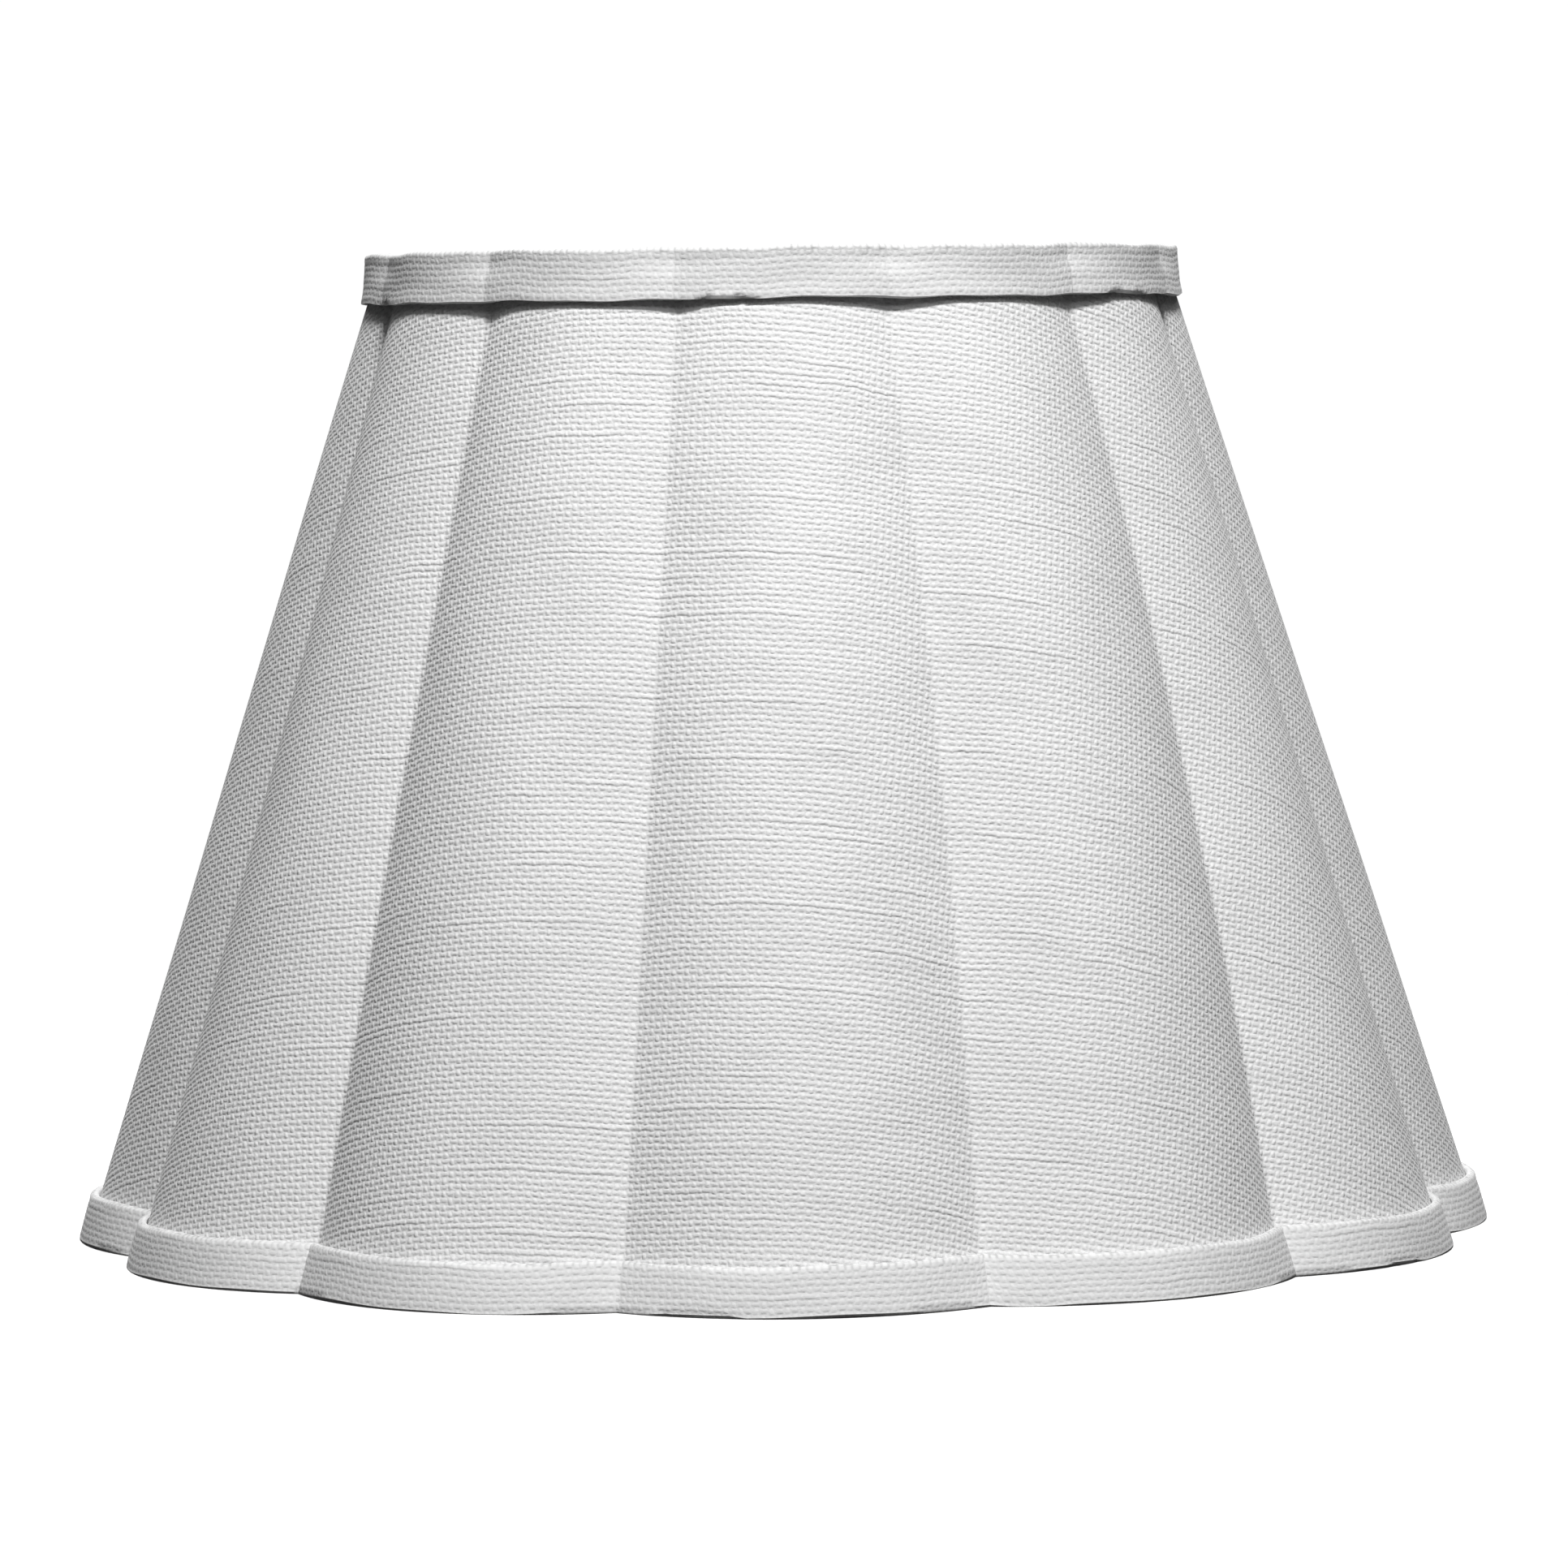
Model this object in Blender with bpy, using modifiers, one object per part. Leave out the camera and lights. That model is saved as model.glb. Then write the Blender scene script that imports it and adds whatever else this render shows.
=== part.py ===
"""Scalloped linen lamp shade with a wire frame and a three-arm spider.

A white sheet of styrene with linen laminated on it is bent into twelve round lobes, wider at
the foot than at the head. A scalloped wire ring sits on each edge of that sheet, a strip of the
same linen is folded over each ring, and a spider of three wires carries the washer that a harp
and its finial clamp. Metres, +Z up. The origin is at the middle of the foot, on the plane that
the shade stands on, and four lobes point along X and Y.
"""
import math

import bmesh
import bpy

# Overall size, across the crests of the lobes and over the folds of the trims
BOTTOM_DIAMETER = 0.3048
TOP_DIAMETER = 0.175
HEIGHT = 0.211

# Lobes: how far each valley lies inside its crest
LOBES = 12
BOTTOM_LOBE_DEPTH = 0.0106
TOP_LOBE_DEPTH = 0.00325
STEPS = 8                       # straight steps in one lobe's arc

# Laminated sheet
COVER_THICKNESS = 0.0007
LINER_THICKNESS = 0.0004

# Folded strips over the rings
TRIM_THICKNESS = 0.0014
TOP_TRIM_HEIGHT = 0.0105
BOTTOM_TRIM_HEIGHT = 0.0100
TURN_IN_HEIGHT = 0.0085         # how far each strip comes back along the inside
FOLD_STEPS = 6                  # straight steps in the half turn over a ring

# Wire frame
RING_WIRE = 0.0032
ARM_WIRE = 0.0032
ARMS = 3
SPIDER_DROP = 0.0127            # from the top ring's middle down to the washer's top face
ARM_SHOULDER = 0.010            # straight length next to the ring, before the arm dips
ARM_LAP = 0.004                 # how far an arm reaches in over the washer
ARM_STEPS = 12
WASHER_DIAMETER = 0.0286
WASHER_HOLE = 0.0111            # passes the threaded stud on top of a harp
WASHER_THICKNESS = 0.0016
WASHER_SIDES = 48

# Clearances
GAP = 0.0003                    # between pieces that touch
RING_SLACK = 0.0005             # all round a ring inside its folded strip
ARM_SLOT = 0.0005               # all round an arm where it passes through the top strip

# Levels and slope that follow from the sizes above
FOLD_RADIUS = RING_WIRE / 2 + RING_SLACK + TRIM_THICKNESS
TOP_RING_Z = HEIGHT - FOLD_RADIUS
BOTTOM_RING_Z = FOLD_RADIUS
SHEET_THICKNESS = COVER_THICKNESS + GAP + LINER_THICKNESS
SHEET_TOP = TOP_RING_Z - RING_WIRE / 2 - GAP
SHEET_BOTTOM = BOTTOM_RING_Z + RING_WIRE / 2 + GAP
LEAN = math.atan2((BOTTOM_DIAMETER - TOP_DIAMETER) / 2, TOP_RING_Z - BOTTOM_RING_Z)


def across(thickness):
    """Width that a thickness takes up along the horizontal, through the leaning sheet."""
    return thickness / math.cos(LEAN)


RING_OFFSET = -across(SHEET_THICKNESS) / 2      # ring's middle, from the sheet's outer face
TOP_CREST = TOP_DIAMETER / 2 - FOLD_RADIUS - RING_OFFSET
BOTTOM_CREST = BOTTOM_DIAMETER / 2 - FOLD_RADIUS - RING_OFFSET


def sheet_radii(level):
    """Crest and valley radius of the sheet's outer face at one height."""
    share = (level - BOTTOM_RING_Z) / (TOP_RING_Z - BOTTOM_RING_Z)
    crest = BOTTOM_CREST + (TOP_CREST - BOTTOM_CREST) * share
    depth = BOTTOM_LOBE_DEPTH + (TOP_LOBE_DEPTH - BOTTOM_LOBE_DEPTH) * share
    return crest, crest - depth


def lobe_arc(level, offset):
    """Centre, radius and half angle of a lobe's arc, moved outwards by the offset."""
    crest, valley = sheet_radii(level)
    half = math.pi / LOBES
    chord = valley * math.sin(half)
    rise = crest - valley * math.cos(half)
    radius = (chord ** 2 + rise ** 2) / (2 * rise)
    centre = crest - radius
    radius += offset
    valley = centre * math.cos(half) + math.sqrt(radius ** 2 - (centre * math.sin(half)) ** 2)
    swing = math.atan2(valley * math.sin(half), valley * math.cos(half) - centre)
    return centre, radius, swing, valley


def outline(level, offset=0.0, z=None):
    """One closed scalloped line: the sheet's outline at a level, offset and placed at z."""
    centre, radius, swing, _ = lobe_arc(level, offset)
    points = []
    for lobe in range(LOBES):
        turn = 2 * math.pi * lobe / LOBES
        for step in range(STEPS):
            angle = swing * (2 * step / STEPS - 1)
            x = centre + radius * math.cos(angle)
            y = radius * math.sin(angle)
            points.append((x * math.cos(turn) - y * math.sin(turn),
                           x * math.sin(turn) + y * math.cos(turn),
                           level if z is None else z))
    return points


def new_collection(name):
    collection = bpy.data.collections.new(name)
    bpy.context.scene.collection.children.link(collection)
    return collection


def material(name, colour, roughness, metallic=0.0):
    made = bpy.data.materials.new(name)
    made.use_nodes = True
    shader = made.node_tree.nodes["Principled BSDF"]
    shader.inputs["Base Color"].default_value = (*colour, 1.0)
    shader.inputs["Roughness"].default_value = roughness
    shader.inputs["Metallic"].default_value = metallic
    return made


def add_object(name, data, collection, surface=None):
    """Put new data in the scene as one named object."""
    made = bpy.data.objects.new(name, data)
    collection.objects.link(made)
    if surface:
        data.materials.append(surface)
    return made


def lofted_sheet(name, sections, thickness, collection, surface):
    """A sheet through closed outlines, listed so that it faces out, thickened inwards."""
    shape = bmesh.new()
    rows = [[shape.verts.new(point) for point in section] for section in sections]
    columns = len(rows[0])
    for upper, lower in zip(rows, rows[1:]):
        for i in range(columns):
            j = (i + 1) % columns
            shape.faces.new((upper[i], lower[i], lower[j], upper[j]))
    mesh = bpy.data.meshes.new(name)
    shape.to_mesh(mesh)
    shape.free()
    mesh.shade_smooth()
    mesh.set_sharp_from_angle(angle=math.radians(25))
    made = add_object(name, mesh, collection, surface)
    wall = made.modifiers.new("Wall", "SOLIDIFY")
    wall.thickness = thickness
    wall.offset = -1.0
    wall.use_even_offset = True
    return made


def wire(name, points, diameter, closed, collection, surface):
    """A round wire along a line of points."""
    curve = bpy.data.curves.new(name, "CURVE")
    curve.dimensions = "3D"
    curve.bevel_depth = diameter / 2
    curve.bevel_resolution = 2
    curve.use_fill_caps = not closed
    line = curve.splines.new("POLY")
    line.points.add(len(points) - 1)
    for place, point in zip(line.points, points):
        place.co = (*point, 1.0)
    line.use_cyclic_u = closed
    return add_object(name, curve, collection, surface)


def fold_profile(ring_z, edge_z, turn_in_z):
    """Outer face of a strip folded round a ring: (level followed, offset, height) triples.

    It runs from the strip's outer edge, round the ring, to the edge on the inside of the shade.
    The half turn starts and ends where the strip's two legs, which lean as the sheet does, touch
    it.
    """
    away = 1 if ring_z > edge_z else -1
    start = away * LEAN
    between = [math.pi * step / FOLD_STEPS for step in range(FOLD_STEPS + 1)]
    turns = [start, *(turn for turn in between if start < turn < start + math.pi), start + math.pi]
    profile = [(edge_z, across(GAP + TRIM_THICKNESS), edge_z)]
    for turn in turns:
        profile.append((ring_z, RING_OFFSET + FOLD_RADIUS * math.cos(turn),
                        ring_z + away * FOLD_RADIUS * math.sin(turn)))
    inside = -across(SHEET_THICKNESS + GAP + TRIM_THICKNESS)
    profile.append((turn_in_z, inside, turn_in_z))
    return profile


def folded_strip(name, profile, collection, surface):
    sections = [outline(level, offset, z) for level, offset, z in profile]
    return lofted_sheet(name, sections, TRIM_THICKNESS, collection, surface)


def washer(name, collection, surface):
    """The spider's washer, turned from its square section."""
    top = TOP_RING_Z - SPIDER_DROP
    bottom = top - WASHER_THICKNESS
    outer = WASHER_DIAMETER / 2
    inner = WASHER_HOLE / 2
    shape = bmesh.new()
    corners = [(outer, 0, top), (outer, 0, bottom), (inner, 0, bottom), (inner, 0, top)]
    section = [shape.verts.new(corner) for corner in corners]
    for start, end in zip(section, section[1:] + section[:1]):
        shape.edges.new((start, end))
    mesh = bpy.data.meshes.new(name)
    shape.to_mesh(mesh)
    shape.free()
    made = add_object(name, mesh, collection, surface)
    turn = made.modifiers.new("Turn", "SCREW")
    turn.steps = turn.render_steps = WASHER_SIDES
    turn.use_merge_vertices = True
    turn.merge_threshold = 0.00001
    return made


def arm_line(turn):
    """Middle line of one arm: out of the ring at a valley, down, and in over the washer."""
    _, _, _, seat = lobe_arc(TOP_RING_Z, RING_OFFSET - RING_WIRE / 2 - GAP)
    hub_z = TOP_RING_Z - SPIDER_DROP + GAP + ARM_WIRE / 2
    dip_start = seat - ARM_SHOULDER
    dip_end = WASHER_DIAMETER / 2
    line = [(seat, TOP_RING_Z)]
    for step in range(ARM_STEPS + 1):
        share = step / ARM_STEPS
        ease = (1 - math.cos(math.pi * share)) / 2
        line.append((dip_start + (dip_end - dip_start) * share,
                     TOP_RING_Z + (hub_z - TOP_RING_Z) * ease))
    line.append((dip_end - ARM_LAP, hub_z))
    return [(r * math.cos(turn), r * math.sin(turn), z) for r, z in line]


def arm_cutter(name, turn, collection):
    """A round bar along an arm's outer end, wide enough to leave the arm its slot."""
    _, _, _, seat = lobe_arc(TOP_RING_Z, RING_OFFSET)
    bpy.ops.mesh.primitive_cylinder_add(
        vertices=16,
        radius=ARM_WIRE / 2 + ARM_SLOT,
        depth=ARM_SHOULDER,
        location=((seat - ARM_SHOULDER / 2) * math.cos(turn),
                  (seat - ARM_SHOULDER / 2) * math.sin(turn),
                  TOP_RING_Z),
        rotation=(0, math.pi / 2, turn))
    cutter = bpy.context.object
    cutter.name = name
    cutter.hide_render = True
    cutter.display_type = "WIRE"
    for home in list(cutter.users_collection):
        home.objects.unlink(cutter)
    collection.objects.link(cutter)
    return cutter


def build():
    for item in list(bpy.data.objects):
        bpy.data.objects.remove(item, do_unlink=True)
    shade = new_collection("lamp_shade")
    cutters = new_collection("cutters")

    linen = material("Linen", (0.80, 0.80, 0.79), 0.9)
    trim_linen = material("Trim linen", (0.72, 0.72, 0.71), 0.9)
    styrene = material("White styrene", (0.86, 0.86, 0.84), 0.45)
    zinc_wire = material("Zinc-plated wire", (0.48, 0.49, 0.50), 0.35, metallic=1.0)

    edges = (SHEET_TOP, SHEET_BOTTOM)
    lofted_sheet("linen_cover", [outline(z) for z in edges], COVER_THICKNESS, shade, linen)
    liner_offset = -across(COVER_THICKNESS + GAP)
    lofted_sheet("styrene_liner", [outline(z, liner_offset) for z in edges],
                 LINER_THICKNESS, shade, styrene)

    wire("top_ring", outline(TOP_RING_Z, RING_OFFSET), RING_WIRE, True, shade, zinc_wire)
    wire("bottom_ring", outline(BOTTOM_RING_Z, RING_OFFSET), RING_WIRE, True, shade, zinc_wire)

    bottom_profile = fold_profile(BOTTOM_RING_Z, BOTTOM_TRIM_HEIGHT, TURN_IN_HEIGHT)
    folded_strip("bottom_trim", bottom_profile, shade, trim_linen)
    top_profile = fold_profile(TOP_RING_Z, HEIGHT - TOP_TRIM_HEIGHT, HEIGHT - TURN_IN_HEIGHT)
    top_trim = folded_strip("top_trim", top_profile[::-1], shade, trim_linen)

    washer("spider_washer", shade, zinc_wire)
    for arm in range(ARMS):
        turn = 2 * math.pi * arm / ARMS + math.pi / LOBES
        wire(f"spider_arm_{arm + 1}", arm_line(turn), ARM_WIRE, False, shade, zinc_wire)
        slot = top_trim.modifiers.new(f"Slot {arm + 1}", "BOOLEAN")
        slot.operation = "DIFFERENCE"
        slot.solver = "EXACT"
        slot.object = arm_cutter(f"arm_slot_{arm + 1}", turn, cutters)


build()
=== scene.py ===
# %% [markdown]
# # A scalloped linen lamp shade
# The shade is a sheet of coarse white linen laminated on styrene and bent into twelve round lobes,
# with a strip of the same linen folded over a wire ring at each edge and a three-wire spider inside.
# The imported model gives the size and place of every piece. This lesson makes the surfaces that are
# seen, piece by piece, in the model's own metres.

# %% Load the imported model
import math

import bpy
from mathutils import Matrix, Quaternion, Vector


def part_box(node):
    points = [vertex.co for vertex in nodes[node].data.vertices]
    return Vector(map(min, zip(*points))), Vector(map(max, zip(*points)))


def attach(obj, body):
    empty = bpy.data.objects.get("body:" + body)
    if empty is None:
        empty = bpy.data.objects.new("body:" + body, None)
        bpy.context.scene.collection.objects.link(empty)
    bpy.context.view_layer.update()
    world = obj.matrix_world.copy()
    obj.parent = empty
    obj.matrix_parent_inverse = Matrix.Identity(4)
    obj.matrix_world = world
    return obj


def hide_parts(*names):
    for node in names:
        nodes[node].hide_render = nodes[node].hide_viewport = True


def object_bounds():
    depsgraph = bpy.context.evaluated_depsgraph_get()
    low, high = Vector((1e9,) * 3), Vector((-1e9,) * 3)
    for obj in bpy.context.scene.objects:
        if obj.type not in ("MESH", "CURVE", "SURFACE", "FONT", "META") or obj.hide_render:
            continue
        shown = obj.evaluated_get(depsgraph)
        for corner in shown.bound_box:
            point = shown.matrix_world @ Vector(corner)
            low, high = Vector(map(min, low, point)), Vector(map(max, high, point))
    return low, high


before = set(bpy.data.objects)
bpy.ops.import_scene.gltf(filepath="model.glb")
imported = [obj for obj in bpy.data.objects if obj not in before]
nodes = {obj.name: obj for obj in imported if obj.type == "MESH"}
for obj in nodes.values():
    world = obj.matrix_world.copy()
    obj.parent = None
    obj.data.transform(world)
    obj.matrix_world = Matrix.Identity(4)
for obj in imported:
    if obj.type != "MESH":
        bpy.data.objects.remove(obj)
cad_low, cad_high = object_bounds()
MM = 0.001
print("CAD box in mm:", [round(v / MM, 1) for v in (*cad_low, *cad_high)])

# %% [markdown]
# ## Measuring the frame
# Everything else is built from a few radii. The sheet's crests and valleys are read off the packed
# cover, and the wires' thickness and height off the rings, so the looks always fit the model.

# %% Read the radii of the sheet and the rings
LOBES = 12
LOBE_TURN = 2 * math.pi / LOBES
CREST_ANGLE = 0.0
VALLEY_ANGLE = LOBE_TURN / 2
ANGLE_SLACK = 0.002                     # radians


def outermost(node, angle, upper):
    """(radius, height) of a node's outermost point at one angle, in its upper or lower half."""
    low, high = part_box(node)
    middle = (low[2] + high[2]) / 2
    found = []
    for corner in nodes[node].data.vertices:
        x, y, z = corner.co
        if (z > middle) == upper and abs(math.atan2(y, x) - angle) < ANGLE_SLACK:
            found.append((math.hypot(x, y), z))
    return max(found)


top_crest, top_z = outermost("linen_cover", CREST_ANGLE, True)
top_valley, _ = outermost("linen_cover", VALLEY_ANGLE, True)
bottom_crest, bottom_z = outermost("linen_cover", CREST_ANGLE, False)
bottom_valley, _ = outermost("linen_cover", VALLEY_ANGLE, False)


def ring_facts(node):
    """Wire thickness, height, crest radius and valley radius of a ring's middle line."""
    low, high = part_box(node)
    wire = high[2] - low[2]
    corner_out = wire * 0.354               # half the wire, at the corner 45 degrees up its side
    crest = outermost(node, CREST_ANGLE, True)[0] - corner_out
    valley = outermost(node, VALLEY_ANGLE, True)[0] - corner_out
    return wire, (low[2] + high[2]) / 2, crest, valley


wire, top_ring_z, top_ring_crest, top_ring_valley = ring_facts("top_ring")
_, bottom_ring_z, bottom_ring_crest, bottom_ring_valley = ring_facts("bottom_ring")
print("sheet in mm:", [round(v / MM, 1) for v in (top_crest, top_valley, bottom_crest, bottom_valley)])
print("rings in mm:", [round(v / MM, 1) for v in (wire, top_ring_z, top_ring_crest, top_ring_valley)])

# %% [markdown]
# ## Camera
# The shade is seen from about 1.6 m with a long lens, from a little below its top ring, with a small
# tilt of the camera. The camera comes first, so that each piece can be looked at as soon as it exists.

# %% Set up the camera
VIEW_DISTANCE = 1.583
VIEW_HEIGHT = 0.1946
VIEW_SIDE = 0.0012
HEADING = math.radians(-1.5)
DOWN = math.radians(3.57)
ROLL = math.radians(-0.78)
LENS = 168.5                            # in mm, on a sensor 36 mm wide

bpy.ops.object.camera_add()
camera = bpy.context.object
camera.name = "view"
camera.data.sensor_width = 36
camera.data.lens = LENS
camera.data.clip_start = 0.05
camera.data.clip_end = 50
heading = Quaternion((0, 0, 1), HEADING)
camera.location = heading @ Vector((VIEW_SIDE, -VIEW_DISTANCE, VIEW_HEIGHT))
turned = heading @ Quaternion((1, 0, 0), math.pi / 2 - DOWN) @ Quaternion((0, 0, 1), ROLL)
camera.rotation_euler = turned.to_euler()
bpy.context.scene.camera = camera
print("camera at", [round(v, 3) for v in camera.location])

# %% [markdown]
# ## Nodes and colours
# Every material is a node tree. One helper adds a node, sets its values and links its inputs, and
# another turns the hex colour that a painter would pick on screen into the linear numbers that the
# renderer works in.

# %% Helpers for materials


def linear(code):
    """Linear red, green, blue and alpha of an sRGB hex colour."""
    shares = [int(code[i:i + 2], 16) / 255 for i in (1, 3, 5)]
    return (*[c / 12.92 if c <= 0.04045 else ((c + 0.055) / 1.055) ** 2.4 for c in shares], 1.0)


def add(tree, kind, inputs=None, out=0, **settings):
    """Adds a node, sets its properties, sets or links its inputs, and gives one output socket."""
    made = tree.nodes.new("ShaderNode" + kind)
    for name, value in settings.items():
        setattr(made, name, value)
    for key, value in (inputs or {}).items():
        if isinstance(value, bpy.types.NodeSocket):
            tree.links.new(value, made.inputs[key])
        else:
            made.inputs[key].default_value = value
    return made.outputs[out]


def blend(tree, share, first, second):
    """Mixes two colours: all of the first at share 0, and all of the second at 1."""
    return add(tree, "Mix", {0: share, 6: first, 7: second}, out=2, data_type="RGBA")


def new_material(name, roughness, **constants):
    """A material with one Principled shader whose constant values are set on its own sockets."""
    made = bpy.data.materials.new(name)
    made.use_nodes = True
    shader = made.node_tree.nodes["Principled BSDF"]
    shader.inputs["Roughness"].default_value = roughness
    for key, value in constants.items():
        shader.inputs[key.replace("_", " ")].default_value = value
    return made, made.node_tree, shader


# %% [markdown]
# ## Linen
# This is a plain weave of thick flax yarns, bleached to an optic white and quite matt. The weft
# yarns lie 1.3 mm apart and the warp yarns 1.48 mm. Each yarn bows over the next and dives under the
# one after, so the cloth is a field of small pillows set like bricks. The short dark dash that light
# from above leaves under each pillow of the weft is painted shadow in the colour, and the low places
# of the weave get a little painted shade too. Here and there a weft yarn is thick for a few
# centimetres: that is a slub, and it shows as a smooth ridge with a long painted shadow line under it.
# The relief is worked out from the cloth's own flat coordinates, so it bends with the cloth. The
# strips are the same linen, pressed flatter, and where they fold the weave opens a little, with
# painted shade between the warp yarns there.

# %% Linen material
WARP_PITCH = 1.48 * MM
WEFT_PITCH = 1.30 * MM
WANDER = 1.1 * MM               # how far a yarn strays over a centimetre
SHIVER = 0.3 * MM               # and over a millimetre
LATE = 0.16                     # of a weft pitch, by which a warp pillow reaches over the line below
NEP_CELL = 25 * MM              # at most one nep lies in a patch of cloth this wide
NEP_CHANCE = 0.12


def strayed(tree, flat):
    """The place on the cloth, shaken: spun flax is never quite straight, nor its rows quite even."""
    placed = flat
    for scale, detail, reach in ((110.0, 2.0, WANDER), (800.0, 1.0, SHIVER)):
        noise = add(tree, "TexNoise", {"Vector": flat, "Scale": scale, "Detail": detail}, out=1)
        centred = add(tree, "VectorMath", {0: noise, 1: (0.5, 0.5, 0.5)}, operation="SUBTRACT")
        pushed = add(tree, "VectorMath", {0: centred, "Scale": reach}, operation="SCALE")
        placed = add(tree, "VectorMath", {0: placed, 1: pushed}, operation="ADD")
    return placed


def wave(tree, count):
    """A wave that crosses zero at each whole number, where one yarn ends and the next starts."""
    half_turns = add(tree, "Math", {0: count, 1: math.pi}, operation="MULTIPLY")
    return add(tree, "Math", {0: half_turns}, operation="SINE")


def pillows(tree, u, v, warp_wave, weft_wave, slub):
    """Height of the weave: the round top of each yarn, and its way over and under."""
    over = add(tree, "Math", {0: warp_wave, 1: weft_wave}, operation="MULTIPLY")
    crossing = add(tree, "CombineXYZ", {0: add(tree, "Math", {0: u}, operation="FLOOR"),
                                        1: add(tree, "Math", {0: v}, operation="FLOOR")})
    chance = add(tree, "TexWhiteNoise", {"Vector": crossing}, noise_dimensions="2D")
    lively = add(tree, "MapRange", {"Value": chance, "To Min": 0.45, "To Max": 1.4})
    bend = add(tree, "Math", {0: over, 1: lively}, operation="MULTIPLY")
    weft_size = add(tree, "Math", {0: weft_wave}, operation="ABSOLUTE")
    weft_round = add(tree, "Math", {0: weft_size, 1: 0.95}, operation="POWER")
    weft_low = add(tree, "Math", {0: weft_round, 1: 0.88}, operation="MULTIPLY")
    weft_fat = add(tree, "Math", {0: slub, 1: 0.35, 2: weft_low}, operation="MULTIPLY_ADD")
    weft_top = add(tree, "Math", {0: bend, 1: 0.3, 2: weft_fat}, operation="MULTIPLY_ADD")
    warp_size = add(tree, "Math", {0: warp_wave}, operation="ABSOLUTE")
    warp_round = add(tree, "Math", {0: warp_size, 1: 1.15}, operation="POWER")
    warp_thin = add(tree, "Math", {0: warp_round, 1: 0.7}, operation="MULTIPLY")
    # A warp yarn still covers the line below its pillow, so the gap shows under the weft's only.
    late = add(tree, "Math", {0: v, 1: LATE}, operation="ADD")
    late_over = add(tree, "Math", {0: warp_wave, 1: wave(tree, late)}, operation="MULTIPLY")
    warp_top = add(tree, "Math", {0: late_over, 1: -1.0, 2: warp_thin}, operation="MULTIPLY_ADD")
    top = add(tree, "Math", {0: weft_top, 1: warp_top, 2: 0.3}, operation="SMOOTH_MAX")
    return add(tree, "Math", {0: top, 1: 0.5, 2: 0.5}, operation="SMOOTH_MAX")


def painted_dash_shadows(tree, v, warp_wave, weft_wave, slub):
    """Painted shadow under a pillow: low in its cell, only where the weft is on top or on a slub."""
    level = add(tree, "Math", {0: v}, operation="FRACT")
    from_gap = add(tree, "Math", {0: level, 1: 0.09}, operation="SUBTRACT")
    gap_size = add(tree, "Math", {0: from_gap}, operation="ABSOLUTE")
    gap = add(tree, "MapRange", {"Value": gap_size, "From Min": 0.24, "From Max": 0.04})
    side = add(tree, "Math", {0: weft_wave}, operation="SIGN")
    on_top = add(tree, "Math", {0: warp_wave, 1: side}, operation="MULTIPLY")
    dash_long = add(tree, "MapRange", {"Value": on_top, "From Min": 0.05, "From Max": 0.75})
    dash_here = add(tree, "Math", {0: dash_long, 1: slub}, operation="MAXIMUM")
    return add(tree, "Math", {0: gap, 1: dash_here}, operation="MULTIPLY")


def painted_fold_slot_shade(tree, folds, warp_wave, dark, painted_pit_shade):
    """Painted shade in the openings between the warp yarns, where the weft spreads round a sharp fold.
    """
    for fold_z, reach in folds:
        height = add(tree, "SeparateXYZ", {0: add(tree, "TexCoord", out=3)}, out=2)
        away = add(tree, "Math", {0: height, 1: fold_z}, operation="SUBTRACT")
        distance = add(tree, "Math", {0: away}, operation="ABSOLUTE")
        band = add(tree, "MapRange", {"Value": distance, "From Min": reach, "From Max": reach / 2})
        warp_size = add(tree, "Math", {0: warp_wave}, operation="ABSOLUTE")
        slot = add(tree, "MapRange", {"Value": warp_size, "From Min": 0.8, "From Max": 0.2,
                                      "To Min": 0.25})
        painted_slot_shade = add(tree, "Math", {0: slot, 1: dark}, operation="MULTIPLY")
        painted_pit_shade = add(tree, "Math", {0: painted_slot_shade, 1: band, 2: painted_pit_shade}, operation="MULTIPLY_ADD")
    return painted_pit_shade


def uneven(tree, place, scale, detail, least, most):
    """Noise, spread over a range."""
    noise = add(tree, "TexNoise", {"Vector": place, "Scale": scale, "Detail": detail})
    return add(tree, "MapRange", {"Value": noise, "From Min": 0.3, "From Max": 0.7,
                                  "To Min": least, "To Max": most})


def with_neps(tree, flat, colour):
    """Adds the neps to a colour: tiny dark knots of fibre, a few on each lobe."""
    near = add(tree, "TexVoronoi", {"Vector": flat, "Scale": 1 / NEP_CELL})
    pick = add(tree, "SeparateXYZ", {0: near.node.outputs["Color"]}, out=0)
    rare = add(tree, "Math", {0: pick, 1: NEP_CHANCE}, operation="LESS_THAN")
    small = add(tree, "MapRange", {"Value": near, "From Min": 0.026, "From Max": 0.012})
    nep = add(tree, "Math", {0: rare, 1: small}, operation="MULTIPLY")
    nep_share = add(tree, "Math", {0: nep, 1: 0.7}, operation="MULTIPLY")
    return blend(tree, nep_share, colour, linear("#57534f"))


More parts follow.
